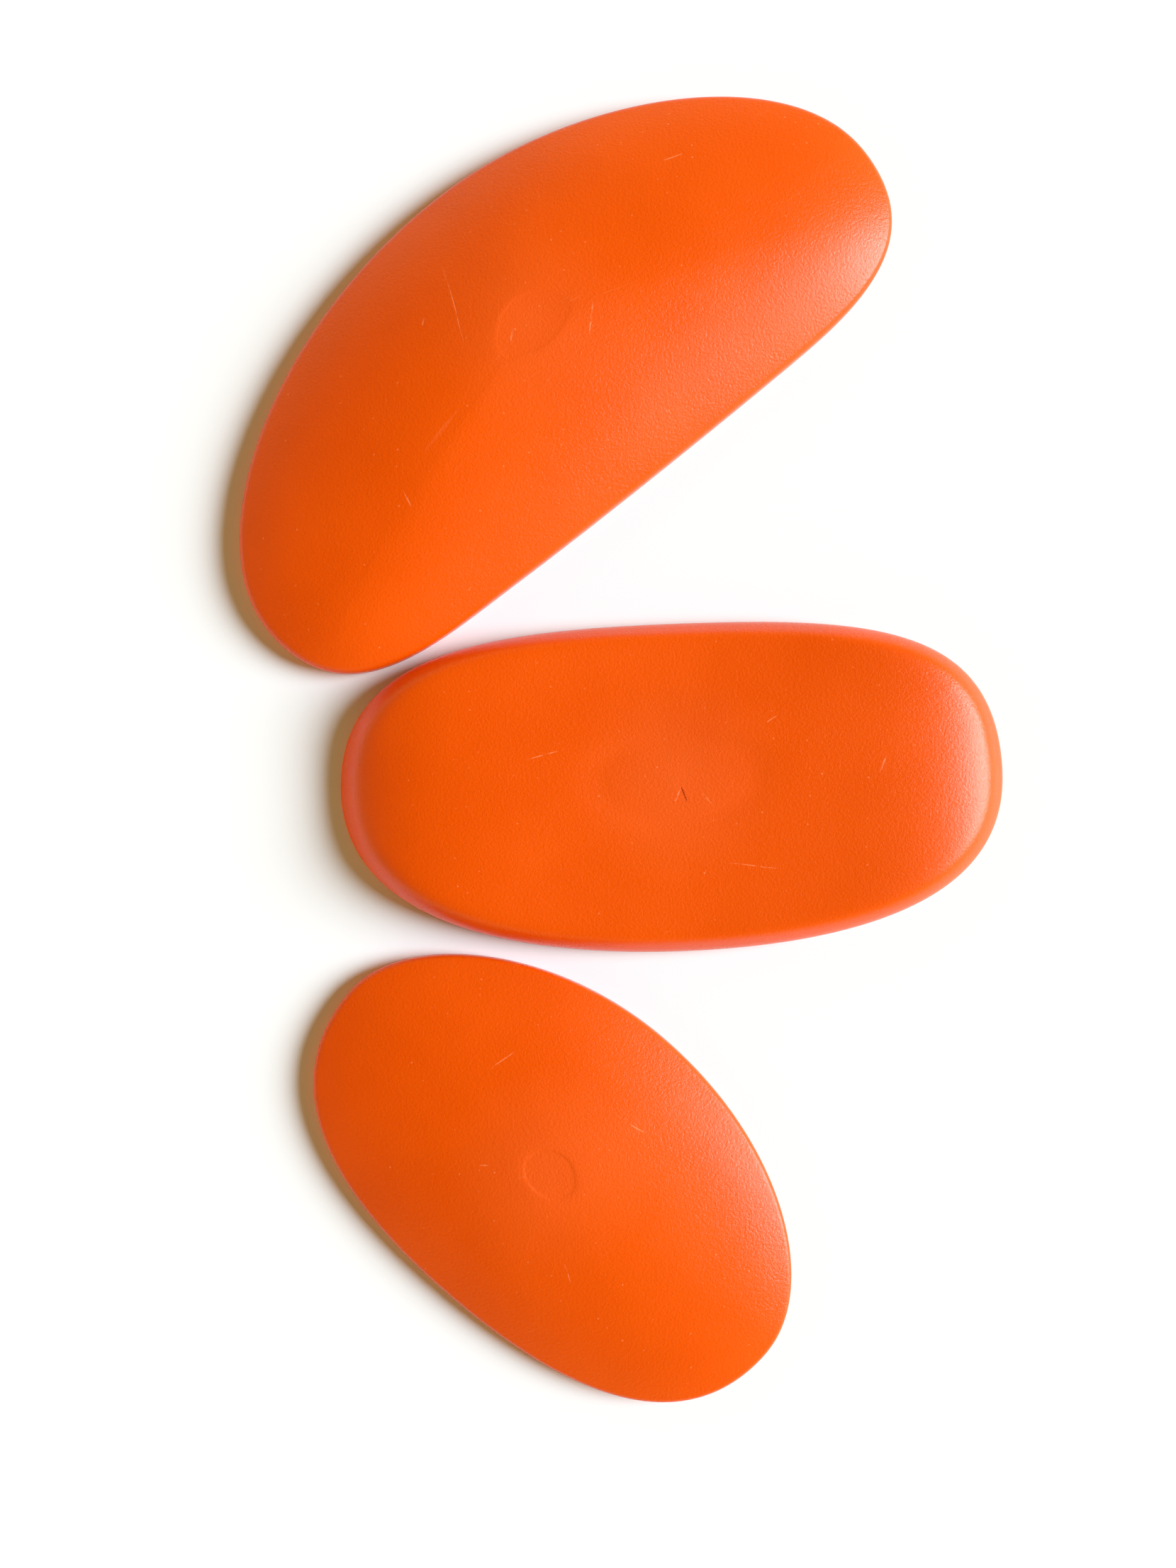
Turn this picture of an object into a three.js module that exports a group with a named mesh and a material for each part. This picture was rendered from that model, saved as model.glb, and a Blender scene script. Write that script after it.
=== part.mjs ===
// A set of three loose leaf grabber hands: dish-shaped palm scoops, each one thin plastic moulding.
// They lie in a row with their hollow sides down, each rim flat on the plane z = 0.
// Millimetres, +Z up. +Y runs along the row, from the egg-shaped hand to the half-moon one.
import * as THREE from "three";
import { mergeVertices } from "three/addons/utils/BufferGeometryUtils.js";

// Driving dimensions shared by the three mouldings.
const SKIN = 2.4; // thickness of the moulded skin
const EDGE_BREAK = 0.4; // chamfer on both corners of the rim's foot
const INNER_CORNER = 1.0; // least radius where the skin turns down on its inner face
const WALL_SHARE = 0.85; // share of the rim's height over which the wall takes up a lower top
const TIP_POWER = 6; // how suddenly the top drops towards the two ends
const SEGMENTS = 96; // steps round each hand
const ORANGE = "#f25a12";

// Each hand in its own frame: the origin is its injection gate, +X its long axis.
// outline: points on the edge, anticlockwise, with the heading of the edge there in degrees and the
//   lengths of the Bezier handles before and after the point.
// reach: radius of the round dish that is drawn out to fill the outline.
// edge: height of the upright rim. rollWidth, rollDepth: the turn from the rim into the top.
// crown: how far the top rises from the roll to the gate. waist, tip: how much lower the top lies
//   half-way along the hand, and at its two ends.
// gateRadius, gateDepth, gateWall: the round recess at the gate, and the width of the slope at its edge.
const HANDS = [
  {
    name: "half_moon_hand",
    place: [-25.3, 115.2],
    turn: 38.9,
    outline: [
      { at: [105, -17], heading: 90, before: 30.5, after: 32 },
      { at: [2, 47], heading: 180, before: 50, after: 59.5 },
      { at: [-109, -17], heading: 270, before: 31.5, after: 35 },
      { at: [-46, -50.5], heading: 358, before: 28, after: 28.5 },
      { at: [54, -51], heading: 361, before: 30, after: 26.5 },
    ],
    reach: 44,
    edge: 4.4,
    rollWidth: 1.4,
    rollDepth: 1.4,
    crown: 15,
    waist: 0,
    tip: 0,
    gateRadius: 7.5,
    gateDepth: 0.2,
    gateWall: 0.8,
  },
  {
    name: "oblong_hand",
    place: [15, -8],
    turn: 2.3,
    outline: [
      { at: [92, -2], heading: 90, before: 33, after: 42 },
      { at: [0, 43.5], heading: 180, before: 55, after: 50 },
      { at: [-94.5, -0.5], heading: 270, before: 40, after: 35 },
      { at: [0.5, -48.5], heading: 360, before: 50, after: 53 },
    ],
    reach: 41,
    edge: 4,
    rollWidth: 5,
    rollDepth: 15,
    crown: 2,
    waist: 8,
    tip: 12.5,
    gateRadius: 14,
    gateDepth: 0.25,
    gateWall: 3,
  },
  {
    name: "egg_hand",
    place: [-20.1, -116.2],
    turn: -41,
    outline: [
      { at: [80, 0], heading: 90, before: 31.5, after: 22.5 },
      { at: [1.5, 47.5], heading: 180, before: 46, after: 43 },
      { at: [-74.5, 0.5], heading: 270, before: 20.5, after: 34.5 },
      { at: [1, -46], heading: 360, before: 44, after: 50.5 },
    ],
    reach: 44,
    edge: 3.8,
    rollWidth: 1.2,
    rollDepth: 1.2,
    crown: 9.5,
    waist: 0,
    tip: 0,
    gateRadius: 6.4,
    gateDepth: 0.25,
    gateWall: 0.8,
  },
];

// The closed outline as one smooth curve of Bezier pieces from point to point.
function outlineShape(points) {
  const along = (point, length) => {
    const heading = THREE.MathUtils.degToRad(point.heading);
    return [point.at[0] + length * Math.cos(heading), point.at[1] + length * Math.sin(heading)];
  };
  const shape = new THREE.Shape();
  shape.moveTo(...points[0].at);
  points.forEach((point, i) => {
    const next = points[(i + 1) % points.length];
    shape.bezierCurveTo(...along(point, point.after), ...along(next, -next.before), ...next.at);
  });
  return shape;
}

// Height of the outer face (inset 0) or the inner face (inset SKIN) at a radius of the round dish.
function faceHeight(hand, radius, inset) {
  const width = Math.max(hand.rollWidth - inset, INNER_CORNER);
  const depth = Math.max(hand.rollDepth - inset, INNER_CORNER);
  const top = hand.edge + hand.rollDepth - inset + hand.crown * (1 - (radius / hand.reach) ** 2);
  const fromWall = Math.min((hand.reach - inset - radius) / width, 1);
  return top - depth * (1 - Math.sqrt(1 - (1 - fromWall) ** 2));
}

// Radii of a face from the gate out to its wall: even steps, then finer ones round the roll.
function faceRadii(hand, inset, startRadius, topSteps, rollSteps) {
  const wall = hand.reach - inset;
  const rollStart = wall - Math.max(hand.rollWidth - inset, INNER_CORNER);
  const radii = [];
  for (let i = 0; i < topSteps; i++) radii.push(startRadius + ((rollStart - startRadius) * i) / topSteps);
  for (let i = 0; i <= rollSteps; i++) {
    radii.push(rollStart + (wall - rollStart) * Math.sin(((Math.PI / 2) * i) / rollSteps));
  }
  return radii;
}

// Half section of the round dish, from the axis down its inside, round the rim's foot, up the outside
// and back to the axis across the gate's recess.
function dishProfile(hand) {
  const wall = hand.reach;
  const point = (radius, height) => new THREE.Vector2(radius, height);
  const onFace = (inset) => (radius) => point(radius, faceHeight(hand, radius, inset));
  const outside = faceRadii(hand, 0, hand.gateRadius, 6, 5).map(onFace(0)).reverse();
  const recess = [hand.gateRadius - hand.gateWall, 0].map(onFace(0));
  recess.forEach((place) => (place.y -= hand.gateDepth));
  return [
    ...faceRadii(hand, SKIN, 0, 5, 3).map(onFace(SKIN)),
    point(wall - SKIN, EDGE_BREAK),
    point(wall - SKIN + EDGE_BREAK, 0),
    point(wall - EDGE_BREAK, 0),
    point(wall, EDGE_BREAK),
    ...outside,
    ...recess,
  ];
}

// Draws the round dish out to the outline. Near the rim each ring keeps its true distance from the
// edge, so the skin keeps its thickness; towards the gate the rings ease into circles.
function handGeometry(hand) {
  const shape = outlineShape(hand.outline);
  const edge = shape.getSpacedPoints(SEGMENTS).slice(0, SEGMENTS);
  const profile = dishProfile(hand);
  const dish = new THREE.LatheGeometry(profile, SEGMENTS);
  const position = dish.getAttribute("position");
  const rimTop = hand.edge + hand.rollDepth;
  const length = hand.outline[0].at[0] - Math.min(...hand.outline.map((point) => point.at[0]));
  for (let i = 0; i <= SEGMENTS; i++) {
    const step = i % SEGMENTS;
    const inward = edge[(step + 1) % SEGMENTS]
      .clone()
      .sub(edge[(step + SEGMENTS - 1) % SEGMENTS])
      .normalize()
      .rotateAround(new THREE.Vector2(), Math.PI / 2);
    const outFromGate = edge[step].clone().normalize();
    profile.forEach(({ x: radius, y: height }, j) => {
      const fromEdge = hand.reach - radius;
      const nearRim = edge[step].clone().addScaledVector(inward, fromEdge);
      const nearGate = outFromGate.clone().multiplyScalar(radius);
      const place = nearRim.lerp(nearGate, THREE.MathUtils.smoothstep(fromEdge, 0, hand.reach));
      const fromMiddle = (2 * place.x) / length;
      const lowered = hand.waist * (1 - fromMiddle ** 2) + hand.tip * fromMiddle ** TIP_POWER;
      const share = Math.min(height / (WALL_SHARE * rimTop), 1);
      position.setXYZ(i * profile.length + j, place.x, place.y, height - lowered * share);
    });
  }
  dish.deleteAttribute("normal");
  dish.deleteAttribute("uv");
  return mergeVertices(dish, 1e-4);
}

const hands = new THREE.Group();
for (const hand of HANDS) {
  const polypropylene = new THREE.MeshStandardMaterial({ color: ORANGE, roughness: 0.5, metalness: 0 });
  const mesh = new THREE.Mesh(handGeometry(hand), polypropylene);
  mesh.name = hand.name;
  mesh.position.set(hand.place[0], hand.place[1], 0);
  mesh.rotation.z = THREE.MathUtils.degToRad(hand.turn);
  hands.add(mesh);
}

export default hands;
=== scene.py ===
from math import cos, radians, sin

import bmesh
import bpy
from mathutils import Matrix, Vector


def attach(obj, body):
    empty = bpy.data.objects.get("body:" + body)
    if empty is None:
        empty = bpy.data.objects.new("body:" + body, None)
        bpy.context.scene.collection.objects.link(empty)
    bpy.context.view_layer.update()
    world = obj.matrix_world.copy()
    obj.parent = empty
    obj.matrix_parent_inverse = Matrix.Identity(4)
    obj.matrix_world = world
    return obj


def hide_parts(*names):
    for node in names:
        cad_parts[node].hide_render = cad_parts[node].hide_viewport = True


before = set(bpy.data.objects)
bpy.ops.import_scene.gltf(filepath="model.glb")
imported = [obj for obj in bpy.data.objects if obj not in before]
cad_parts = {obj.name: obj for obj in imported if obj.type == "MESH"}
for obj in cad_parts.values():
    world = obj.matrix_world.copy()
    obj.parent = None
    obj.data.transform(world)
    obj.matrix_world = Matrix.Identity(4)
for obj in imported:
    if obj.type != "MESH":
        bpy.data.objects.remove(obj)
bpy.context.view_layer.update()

# Half-moon hand: a thin scoop with one nearly straight edge. It is one shot of orange polypropylene,
# injected through a gate in the middle of its outside and pushed off the core by four pins.
# It lies loose on the foot of its rim, hollow side down, and nothing fixes it to the other two.

HALF_MOON_TURN = radians(38.9)  # its long axis
HALF_MOON_GATE = dict(radius=0.0075, cad_wall=0.0008, wall=0.0006, crease=0.4)
HALF_MOON_PINS = [(0.040, 0.008), (0.034, -0.026), (-0.040, 0.008), (-0.036, -0.026)]
# Handling scratches: place along and across the hand from its gate, heading from its long axis in
# degrees, length and width.
HALF_MOON_SCRATCHES = [
    (-0.0130, 0.0170, 66, 0.0260, 0.00035),
    (0.0136, -0.0095, 43, 0.0100, 0.0006),
    (-0.0062, 0.0002, 38, 0.0042, 0.0006),
    (-0.0220, 0.0190, 35, 0.0030, 0.0006),
    (0.0600, 0.0120, -20, 0.0120, 0.0004),
    (-0.0560, -0.0160, 80, 0.0060, 0.0005),
]

PURE_ORANGE = "#e55500"
DEEP_ORANGE = "#df5100"
SCUFFED_ORANGE = "#ff9a66"

REFRACTION = 1.49
SHEEN_LEVEL = 0.36  # a satin moulding reflects less than the usual half
GRAIN_CELL = 0.00075  # the steel's texture, left all over the moulding
GRAIN_DEPTH = 0.00014
SINK_WAVE = 0.014  # slow unevenness where the skin cooled on its core
SINK_DEPTH = 0.00006
CLOUD_WIDTH = 0.035  # uneven mixing of the pigment
PATCH_WIDTH = 0.0025  # breaks in scratches and in the rubbed edges
SCRATCH_DEPTH = 0.00003
SCRATCH_WANDER = 0.0015
SCRATCH_REACH = 0.1  # how far a scratch's needle reaches up and down, well past the skin
SPECK_SPACING = 0.0032
SPECK_RADIUS = 0.0002
BLUSH_RADIUS = 0.03  # paler, duller flow mark round the gate
BLUSH_PALENESS = 0.06
RUB_PALENESS = 0.12
MARK_PALENESS = 0.55
BLUSH_DULLNESS = 0.04
MARK_DULLNESS = 0.15
RUB_SMOOTHNESS = 0.06

MIDDLE_EDGES = 20  # only the two middles of a hand have more edges than this
GATE_REACH = 0.0012  # the gate's step lies no deeper than this below its middle
GRID_SPAN = 24  # a quarter of the steps round a hand
PIN_RADIUS = 0.0032
PIN_RIM = 0.0002
PIN_DEPTH = 0.0002
PIN_SLOPE = 0.0003
ROUNDING_LEVEL = 2
SMOOTH_ANGLE = radians(32)


def linear(hex_colour):
    """Turns an sRGB hex colour to linear values with an alpha of one."""
    parts = [int(hex_colour[i : i + 2], 16) / 255 for i in (1, 3, 5)]
    return [c / 12.92 if c <= 0.04045 else ((c + 0.055) / 1.055) ** 2.4 for c in parts] + [1]


def add_node(tree, kind, settings=None, **inputs):
    """Adds a shader node with its settings and inputs, and links each input that is a socket.

    An input is named with _ for a space, or by its number, as in input_0."""
    node = tree.nodes.new(kind)
    for name, value in (settings or {}).items():
        setattr(node, name, value)
    for name, value in inputs.items():
        socket = node.inputs[int(name[6:]) if name.startswith("input_") else name.replace("_", " ")]
        if isinstance(value, bpy.types.NodeSocket):
            tree.links.new(value, socket)
        else:
            socket.default_value = value
    return node


def across_hand(gate, turn, along, across):
    """A place on a hand, from its gate and its long axis."""
    right = cos(turn) * along - sin(turn) * across
    up = sin(turn) * along + cos(turn) * across
    return gate + Vector((right, up, 0))


def moulded_polypropylene(name, gate, turn, scratches):
    """Pigmented polypropylene, injection moulded against finely textured steel.

    The eye gets a strong, nearly pure orange under a soft satin sheen, a grain that sparkles where
    light glances off it, and the pale hairlines and specks that handling leaves on a soft plastic."""
    material = bpy.data.materials.new(name)
    material.use_nodes = True
    tree = material.node_tree
    shader = tree.nodes["Principled BSDF"]
    shader.inputs["IOR"].default_value = REFRACTION
    shader.inputs["Specular IOR Level"].default_value = SHEEN_LEVEL

    def calculate(operation, first, second):
        sums = {"operation": operation}
        return add_node(tree, "ShaderNodeMath", sums, input_0=first, input_1=second).outputs[0]

    def fit(value, low, high, new_low, new_high):
        ends = dict(From_Min=low, From_Max=high, To_Min=new_low, To_Max=new_high)
        return add_node(tree, "ShaderNodeMapRange", Value=value, **ends).outputs["Result"]

    def blend(share, first, second):
        colours = dict(input_6=first, input_7=second)
        return add_node(tree, "ShaderNodeMix", {"data_type": "RGBA"}, input_0=share, **colours).outputs[2]

    place = add_node(tree, "ShaderNodeTexCoord").outputs["Object"]
    grain = add_node(
        tree, "ShaderNodeTexNoise", Vector=place, Scale=1 / GRAIN_CELL, Detail=3.0, Roughness=0.7
    )
    cloud = add_node(tree, "ShaderNodeTexNoise", Vector=place, Scale=1 / CLOUD_WIDTH, Detail=3.0)
    sink = add_node(tree, "ShaderNodeTexNoise", Vector=place, Scale=1 / SINK_WAVE, Detail=1.0)
    patches = add_node(tree, "ShaderNodeTexNoise", Vector=place, Scale=1 / PATCH_WIDTH, Detail=2.0)

    # Hairline scratches: each is a long thin needle that wanders a little and breaks up.
    unevenness = sink.outputs["Color"]
    bend = add_node(
        tree, "ShaderNodeVectorMath", {"operation": "SCALE"}, input_0=unevenness, Scale=SCRATCH_WANDER
    )
    wander = add_node(
        tree, "ShaderNodeVectorMath", {"operation": "ADD"}, input_0=place, input_1=bend.outputs[0]
    )
    middle_of_wander = Vector((SCRATCH_WANDER / 2, SCRATCH_WANDER / 2, 0))
    scratched = 0.0
    for along, across, heading, length, width in scratches:
        own_axes = dict(
            Location=across_hand(gate, turn, along, across) + middle_of_wander,
            Rotation=(0, 0, turn + radians(heading)),
            Scale=(length / 2, width / 2, SCRATCH_REACH),
        )
        mapped = add_node(
            tree, "ShaderNodeMapping", {"vector_type": "TEXTURE"}, Vector=wander.outputs[0], **own_axes
        )
        needle = add_node(
            tree, "ShaderNodeTexGradient", {"gradient_type": "SPHERICAL"}, Vector=mapped.outputs[0]
        )
        scratched = calculate("MAXIMUM", fit(needle.outputs["Fac"], 0.0, 0.6, 0.0, 1.0), scratched)
    scratched = calculate("MULTIPLY", scratched, fit(patches.outputs["Fac"], 0.38, 0.55, 0.0, 1.0))

    # Scuff specks: one small dot in some of the cells.
    cells = add_node(tree, "ShaderNodeTexVoronoi", Vector=place, Scale=1 / SPECK_SPACING)
    chance = add_node(tree, "ShaderNodeSeparateColor", Color=cells.outputs["Color"])
    dot_edge = SPECK_RADIUS / SPECK_SPACING
    dot = fit(cells.outputs["Distance"], 1.5 * dot_edge, 0.5 * dot_edge, 0.0, 1.0)
    speck = calculate("MULTIPLY", dot, fit(chance.outputs[0], 0.4, 0.9, 0.0, 1.0))
    marked = calculate("MAXIMUM", scratched, speck)

    # Flow mark: the melt cooled first round the gate, so the skin is a little duller there.
    around = dict(Location=gate, Scale=(BLUSH_RADIUS, BLUSH_RADIUS, BLUSH_RADIUS))
    from_gate = add_node(tree, "ShaderNodeMapping", {"vector_type": "TEXTURE"}, Vector=place, **around)
    blush = add_node(
        tree, "ShaderNodeTexGradient", {"gradient_type": "SPHERICAL"}, Vector=from_gate.outputs[0]
    )

    # Rubbed edges: the corners of the rim are a little paler and smoother.
    bends = add_node(tree, "ShaderNodeNewGeometry").outputs["Pointiness"]
    broken = fit(patches.outputs["Fac"], 0.35, 0.65, 0.3, 1.0)
    rubbed = calculate("MULTIPLY", fit(bends, 0.52, 0.58, 0.0, 1.0), broken)

    colour = blend(fit(cloud.outputs["Fac"], 0.35, 0.65, 0.0, 1.0), linear(DEEP_ORANGE), linear(PURE_ORANGE))
    flowed = calculate("MULTIPLY", blush.outputs["Fac"], BLUSH_PALENESS)
    colour = blend(flowed, colour, linear(SCUFFED_ORANGE))
    colour = blend(calculate("MULTIPLY", rubbed, RUB_PALENESS), colour, linear(SCUFFED_ORANGE))
    colour = blend(calculate("MULTIPLY", marked, MARK_PALENESS), colour, linear(SCUFFED_ORANGE))
    tree.links.new(colour, shader.inputs["Base Color"])

    satin = fit(cloud.outputs["Fac"], 0.3, 0.7, 0.29, 0.34)
    satin = calculate("ADD", satin, fit(grain.outputs["Fac"], 0.3, 0.7, -0.05, 0.05))
    satin = calculate("ADD", satin, calculate("MULTIPLY", blush.outputs["Fac"], BLUSH_DULLNESS))
    satin = calculate("ADD", satin, calculate("MULTIPLY", marked, MARK_DULLNESS))
    satin = calculate("SUBTRACT", satin, calculate("MULTIPLY", rubbed, RUB_SMOOTHNESS))
    tree.links.new(satin, shader.inputs["Roughness"])

    relief = calculate("MULTIPLY", grain.outputs["Fac"], GRAIN_DEPTH)
    relief = calculate("ADD", relief, calculate("MULTIPLY", sink.outputs["Fac"], SINK_DEPTH))
    relief = calculate("SUBTRACT", relief, calculate("MULTIPLY", scratched, SCRATCH_DEPTH))
    bump = add_node(tree, "ShaderNodeBump", Height=relief, Distance=1.0)
    tree.links.new(bump.outputs["Normal"], shader.inputs["Normal"])
    return material


def pick(piece, kind, test):
    """Selects only those vertices, edges or faces of a piece in edit mode that pass a test."""
    bpy.ops.mesh.select_mode(type=kind)
    bpy.ops.mesh.select_all(action="DESELECT")
    mesh = bmesh.from_edit_mesh(piece.data)
    for element in {"VERT": mesh.verts, "EDGE": mesh.edges, "FACE": mesh.faces}[kind]:
        if test(element):
            element.select_set(True)
    bmesh.update_edit_mesh(piece.data)


def open_moulding(node, name):
    """Copies a moulding's CAD skin as quads, in edit mode, with a hole at the middle of each face.

    Returns the copy, the middle of its gate and the middle of its inner face."""
    bpy.ops.object.select_all(action="DESELECT")
    piece = bpy.data.objects.new(name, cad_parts[node].data.copy())
    bpy.context.collection.objects.link(piece)
    piece.data.materials.clear()
    bpy.context.view_layer.objects.active = piece
    piece.select_set(True)
    bpy.ops.object.mode_set(mode="EDIT")
    bpy.ops.mesh.select_all(action="SELECT")
    bpy.ops.mesh.remove_doubles(threshold=1e-5)
    bpy.ops.mesh.tris_convert_to_quads(face_threshold=radians(60), shape_threshold=radians(100))
    corners = bmesh.from_edit_mesh(piece.data).verts
    middles = [v.co.copy() for v in corners if len(v.link_edges) > MIDDLE_EDGES]
    inside, gate = sorted(middles, key=lambda place: place.z)
    pick(piece, "VERT", lambda v: len(v.link_edges) > MIDDLE_EDGES)
    bpy.ops.mesh.delete(type="VERT")
    return piece, gate, inside


def keep_foot_crisp(piece):
    """Creases the two edges of the rim's flat foot, so that the foot stays flat and on the ground."""
    pick(piece, "FACE", lambda face: face.normal.z < -0.99 and face.calc_center_median().z < 1e-5)
    bpy.ops.mesh.region_to_loop()
    bpy.ops.transform.edge_crease(value=1.0)


def close_gate(piece, gate, radius, cad_wall, wall, crease):
    """Narrows the step round the gate to the line that the tool leaves, and closes the outside."""

    def open_edge(edge):
        return edge.is_boundary and min(v.co.z for v in edge.verts) > gate.z - GATE_REACH

    def step_edge(edge):
        on_ring = all(abs((v.co.xy - gate.xy).length - radius) < 1e-5 for v in edge.verts)
        return on_ring and edge.verts[0].co.z > gate.z - GATE_REACH

    pick(piece, "EDGE", open_edge)
    out = (radius - wall) / (radius - cad_wall)
    bpy.ops.transform.resize(value=(out, out, 1), center_override=gate)
    bpy.ops.transform.edge_crease(value=crease)
    bpy.ops.mesh.extrude_edges_move(TRANSFORM_OT_translate={"value": (0, 0, 0)})
    inwards = (radius - 2 * wall) / (radius - wall)
    bpy.ops.transform.resize(value=(inwards, inwards, 1), center_override=gate)
    bpy.ops.mesh.fill_grid(span=GRID_SPAN)
    pick(piece, "EDGE", step_edge)
    bpy.ops.transform.edge_crease(value=crease)


def close_core_side(piece, inside, turn, pins):
    """Closes the inner face and sinks the round marks of the ejector pins into it."""
    pick(piece, "EDGE", lambda edge: edge.is_boundary)
    bpy.ops.mesh.fill_grid(span=GRID_SPAN)
    for along, across in pins:
        wanted = across_hand(inside, turn, along, across).xy
        corners = bmesh.from_edit_mesh(piece.data).verts
        inner = [v for v in corners if v.normal.z < -0.5 and v.co.z > 0.002]
        nearest = min(inner, key=lambda v: (v.co.xy - wanted).length).index
        pick(piece, "VERT", lambda v: v.index == nearest)
        bpy.ops.mesh.bevel(offset=PIN_RADIUS, segments=1, affect="VERTICES")
        bpy.ops.mesh.select_mode(type="FACE")
        bpy.ops.mesh.inset(thickness=PIN_RIM)
        bpy.ops.transform.shrink_fatten(value=-PIN_DEPTH)
        bpy.ops.mesh.inset(thickness=PIN_SLOPE)


def round_off(piece):
    """Rounds the skin as the steel was, by subdivision, and smooths it up to the foot."""
    bpy.ops.object.mode_set(mode="OBJECT")
    modifier = piece.modifiers.new("Subdivision", "SUBSURF")
    modifier.levels = ROUNDING_LEVEL
    modifier.render_levels = ROUNDING_LEVEL
    bpy.ops.object.modifier_apply(modifier=modifier.name)
    bpy.ops.object.shade_smooth_by_angle(angle=SMOOTH_ANGLE)


half_moon, gate, inside = open_moulding("half_moon_hand", "half_moon_shell")
keep_foot_crisp(half_moon)
close_gate(half_moon, gate, **HALF_MOON_GATE)
close_core_side(half_moon, inside, HALF_MOON_TURN, HALF_MOON_PINS)
round_off(half_moon)
half_moon.data.materials.append(
    moulded_polypropylene("moulded_polypropylene_half_moon", gate, HALF_MOON_TURN, HALF_MOON_SCRATCHES)
)
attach(half_moon, "half_moon")
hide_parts("half_moon_hand")

# Oblong hand: a long scoop with tight sides, a top that dips half-way along and ends that fall away.
# It is the same polypropylene, moulded on its own core. Its gate is a wide, soft, shallow disc, with
# the small three-cornered scar where the runner was snapped off.

OBLONG_TURN = radians(2.3)
OBLONG_GATE = dict(radius=0.014, cad_wall=0.003, wall=0.002, crease=0.0)
OBLONG_PINS = [(0.052, 0.018), (0.052, -0.022), (-0.052, 0.018), (-0.052, -0.022)]
OBLONG_SCRATCHES = [
    (-0.0360, 0.0080, 15, 0.0120, 0.0004),
    (0.0080, -0.0060, -55, 0.0050, 0.0004),
    (0.0260, 0.0150, 30, 0.0090, 0.0004),
    (0.0200, -0.0250, -8, 0.0160, 0.00035),
    (0.0560, 0.0020, 65, 0.0060, 0.0005),
]
SCAR_PLACE = (0.0007, -0.005)
SCAR_RADIUS = 0.0023
SCAR_DEPTH = 0.00007
SCAR_CUTTER = 0.002
SCAR_SHAPE = (0.75, 1.15, 1)
ABOVE_HAND = Vector((0, 0, 0.05))

oblong, gate, inside = open_moulding("oblong_hand", "oblong_shell")
keep_foot_crisp(oblong)
close_gate(oblong, gate, **OBLONG_GATE)
close_core_side(oblong, inside, OBLONG_TURN, OBLONG_PINS)
round_off(oblong)
bpy.ops.object.select_all(action="DESELECT")
above_scar = across_hand(gate, OBLONG_TURN, *SCAR_PLACE) + ABOVE_HAND
gate_floor = oblong.ray_cast(above_scar, Vector((0, 0, -1)))[1]
scar_middle = gate_floor + Vector((0, 0, SCAR_CUTTER / 2 - SCAR_DEPTH))
bpy.ops.mesh.primitive_cylinder_add(
    vertices=3, radius=SCAR_RADIUS, depth=SCAR_CUTTER, location=scar_middle
)
cutter = bpy.context.active_object
cutter.scale = SCAR_SHAPE
scar = oblong.modifiers.new("Scar", "BOOLEAN")
scar.operation = "DIFFERENCE"
scar.object = cutter
bpy.context.view_layer.update()
bpy.context.view_layer.objects.active = oblong
bpy.ops.object.modifier_apply(modifier=scar.name)
bpy.data.objects.remove(cutter)
oblong.select_set(True)
bpy.ops.object.shade_smooth_by_angle(angle=SMOOTH_ANGLE)
oblong.data.materials.append(
    moulded_polypropylene("moulded_polypropylene_oblong", gate, OBLONG_TURN, OBLONG_SCRATCHES)
)
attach(oblong, "oblong")
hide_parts("oblong_hand")

# Egg-shaped hand: the smallest scoop, with one end wider than the other. It is the same
# polypropylene, moulded on its own core, with a small crisp ring where its gate bush met the cavity.

EGG_TURN = radians(-41)
EGG_GATE = dict(radius=0.0064, cad_wall=0.0008, wall=0.0006, crease=0.4)
EGG_PINS = [(0.030, 0.014), (0.030, -0.014), (-0.028, 0.014), (-0.028, -0.014)]
EGG_SCRATCHES = [
    (-0.0150, -0.0100, 40, 0.0030, 0.0005),
    (0.0220, -0.0180, -30, 0.0070, 0.0004),
    (-0.0300, 0.0150, 75, 0.0100, 0.00035),
    (0.0100, 0.0250, 10, 0.0060, 0.0004),
]

egg, gate, inside = open_moulding("egg_hand", "egg_shell")
keep_foot_crisp(egg)
close_gate(egg, gate, **EGG_GATE)
close_core_side(egg, inside, EGG_TURN, EGG_PINS)
round_off(egg)
egg.data.materials.append(
    moulded_polypropylene("moulded_polypropylene_egg", gate, EGG_TURN, EGG_SCRATCHES)
)
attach(egg, "egg")
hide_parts("egg_hand")

# Floor: a plain sheet of matt white paper, wide enough to fill every view. It lies a hair below the
# rims' feet, so that the two faces never coincide.

FLOOR_SIZE = 40.0
FLOOR_DROP = 0.0001
PAPER_COLOUR = "#eef5fd"
PAPER_ROUGHNESS = 0.9

bpy.ops.object.select_all(action="DESELECT")
bpy.ops.mesh.primitive_plane_add(size=FLOOR_SIZE, location=(0, 0, -FLOOR_DROP))
floor = bpy.context.active_object
floor.name = "floor"
paper = bpy.data.materials.new("matt_white_paper")
paper.use_nodes = True
paper_shader = paper.node_tree.nodes["Principled BSDF"]
paper_shader.inputs["Base Color"].default_value = linear(PAPER_COLOUR)
paper_shader.inputs["Roughness"].default_value = PAPER_ROUGHNESS
floor.data.materials.append(paper)

# Light: one large soft lamp low on the right, far enough away to light the whole floor evenly, and
# the warm walls of a room, brightest low on the left. Seen directly, the room is plain pale grey.

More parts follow.
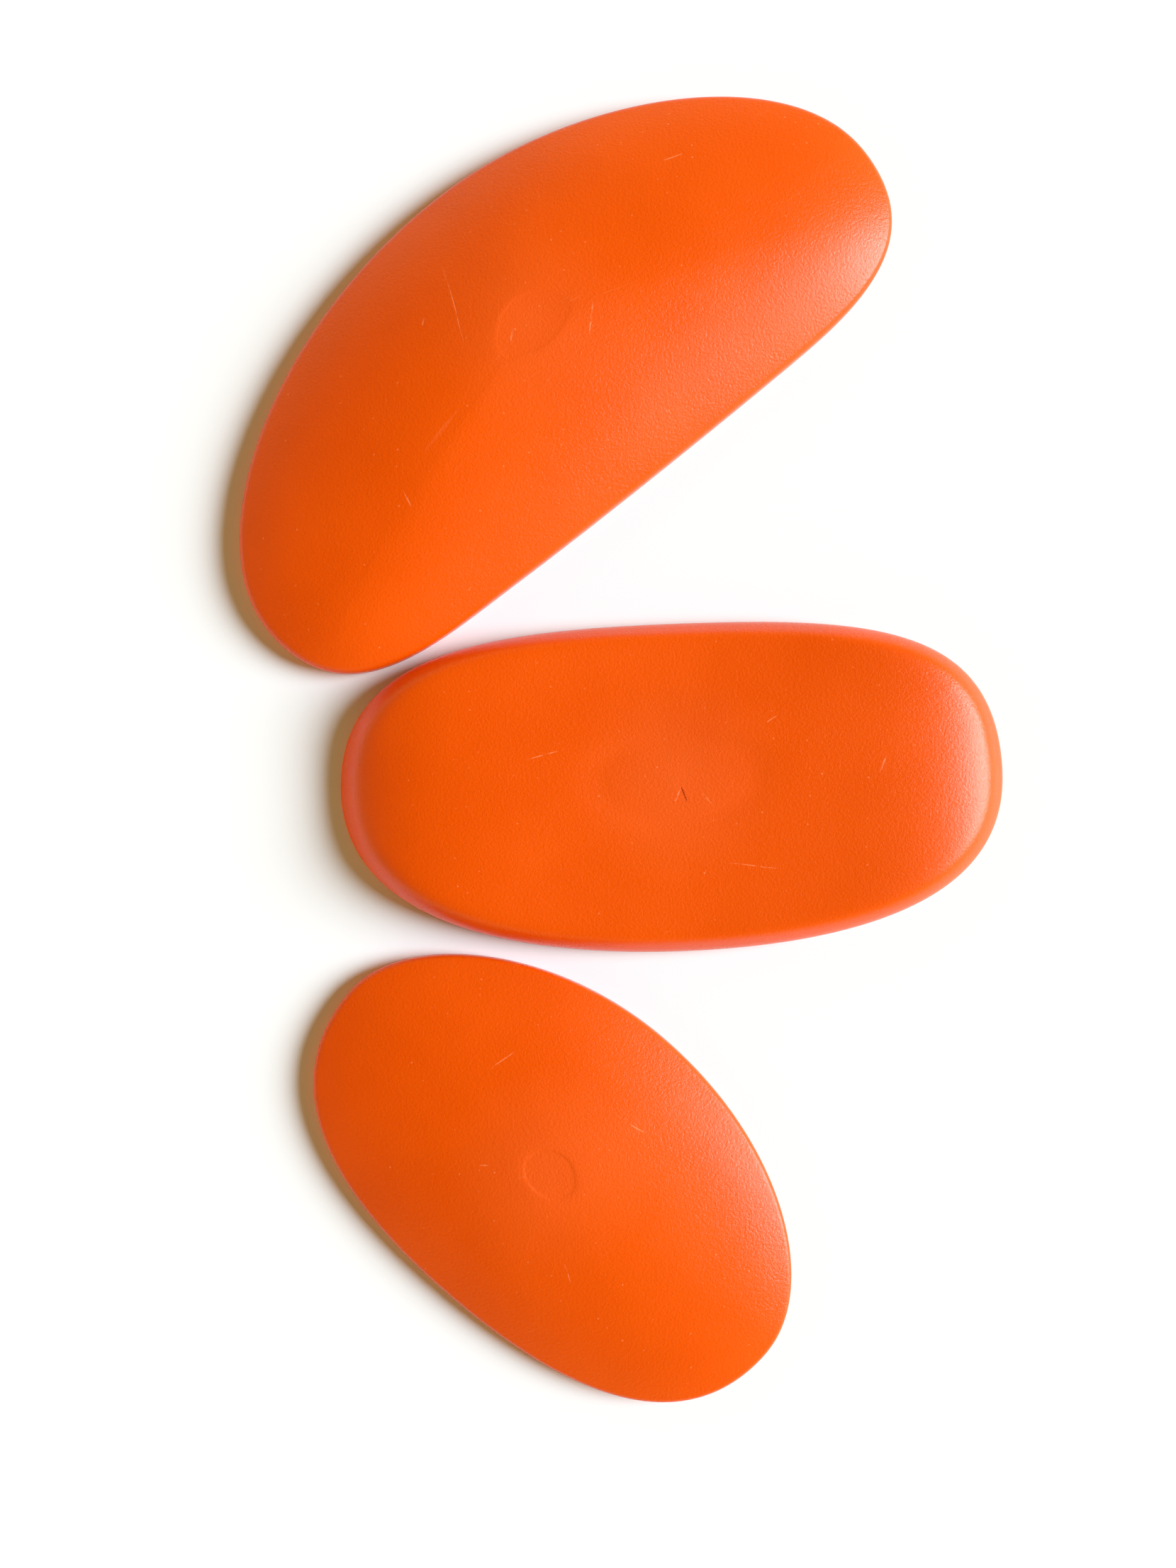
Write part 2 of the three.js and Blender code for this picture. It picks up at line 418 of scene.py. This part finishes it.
KEY_TURN = radians(2)
KEY_RISE = radians(30)
KEY_SPREAD = radians(32)
KEY_STRENGTH = 5.9
KEY_COLOUR = "#f5fcff"
ROOM_LEVEL = 4.5
ROOM_LEFT = 0.68
ROOM_RIGHT = 0.32
ROOM_FALL = 2.0
ROOM_COLOUR = "#ffd084"
BACKDROP_COLOUR = "#f4f4f4"

lamp = bpy.data.lights.new("key", "SUN")
lamp.angle = KEY_SPREAD
lamp.energy = KEY_STRENGTH
lamp.color = linear(KEY_COLOUR)[:3]
key = bpy.data.objects.new("key", lamp)
bpy.context.collection.objects.link(key)
key_reach = cos(KEY_RISE)
towards_key = Vector((key_reach * cos(KEY_TURN), key_reach * sin(KEY_TURN), sin(KEY_RISE)))
key.rotation_euler = towards_key.to_track_quat("Z", "Y").to_euler()

room = bpy.data.worlds.new("room")
bpy.context.scene.world = room
room.use_nodes = True
tree = room.node_tree
outlook = add_node(tree, "ShaderNodeTexCoord")
axes = add_node(tree, "ShaderNodeSeparateXYZ", Vector=outlook.outputs["Generated"])
lowness = add_node(tree, "ShaderNodeMapRange", Value=axes.outputs["Z"], To_Min=1.0, To_Max=0.0)
walls = add_node(
    tree, "ShaderNodeMath", {"operation": "POWER"}, input_0=lowness.outputs["Result"], input_1=ROOM_FALL
)
sides = add_node(
    tree,
    "ShaderNodeMapRange",
    Value=axes.outputs["X"],
    From_Min=-1.0,
    To_Min=ROOM_LEFT * ROOM_LEVEL,
    To_Max=ROOM_RIGHT * ROOM_LEVEL,
)
lit = add_node(
    tree,
    "ShaderNodeMath",
    {"operation": "MULTIPLY"},
    input_0=walls.outputs[0],
    input_1=sides.outputs["Result"],
)
glow = add_node(tree, "ShaderNodeBackground", Color=linear(ROOM_COLOUR), Strength=lit.outputs[0])
backdrop = add_node(tree, "ShaderNodeBackground", Color=linear(BACKDROP_COLOUR))
seen = add_node(
    tree,
    "ShaderNodeMixShader",
    input_0=add_node(tree, "ShaderNodeLightPath").outputs["Is Camera Ray"],
    input_1=glow.outputs[0],
    input_2=backdrop.outputs[0],
)
tree.links.new(seen.outputs[0], tree.nodes["World Output"].inputs["Surface"])

# Camera: straight above the row, close enough that the rims' walls show towards the edges.

VIEW_MIDDLE = Vector((-0.0097, -0.0095, 0))
CAMERA_HEIGHT = 0.45
VIEW_HEIGHT = 0.4424  # the length of floor that the view's height covers
LENS = 45.0

camera = bpy.data.cameras.new("camera")
camera.sensor_fit = "VERTICAL"
camera.lens = LENS
camera.sensor_height = LENS * VIEW_HEIGHT / CAMERA_HEIGHT
viewpoint = bpy.data.objects.new("camera", camera)
bpy.context.collection.objects.link(viewpoint)
viewpoint.location = VIEW_MIDDLE + Vector((0, 0, CAMERA_HEIGHT))
bpy.context.scene.camera = viewpoint
bpy.context.scene.view_settings.view_transform = "Standard"
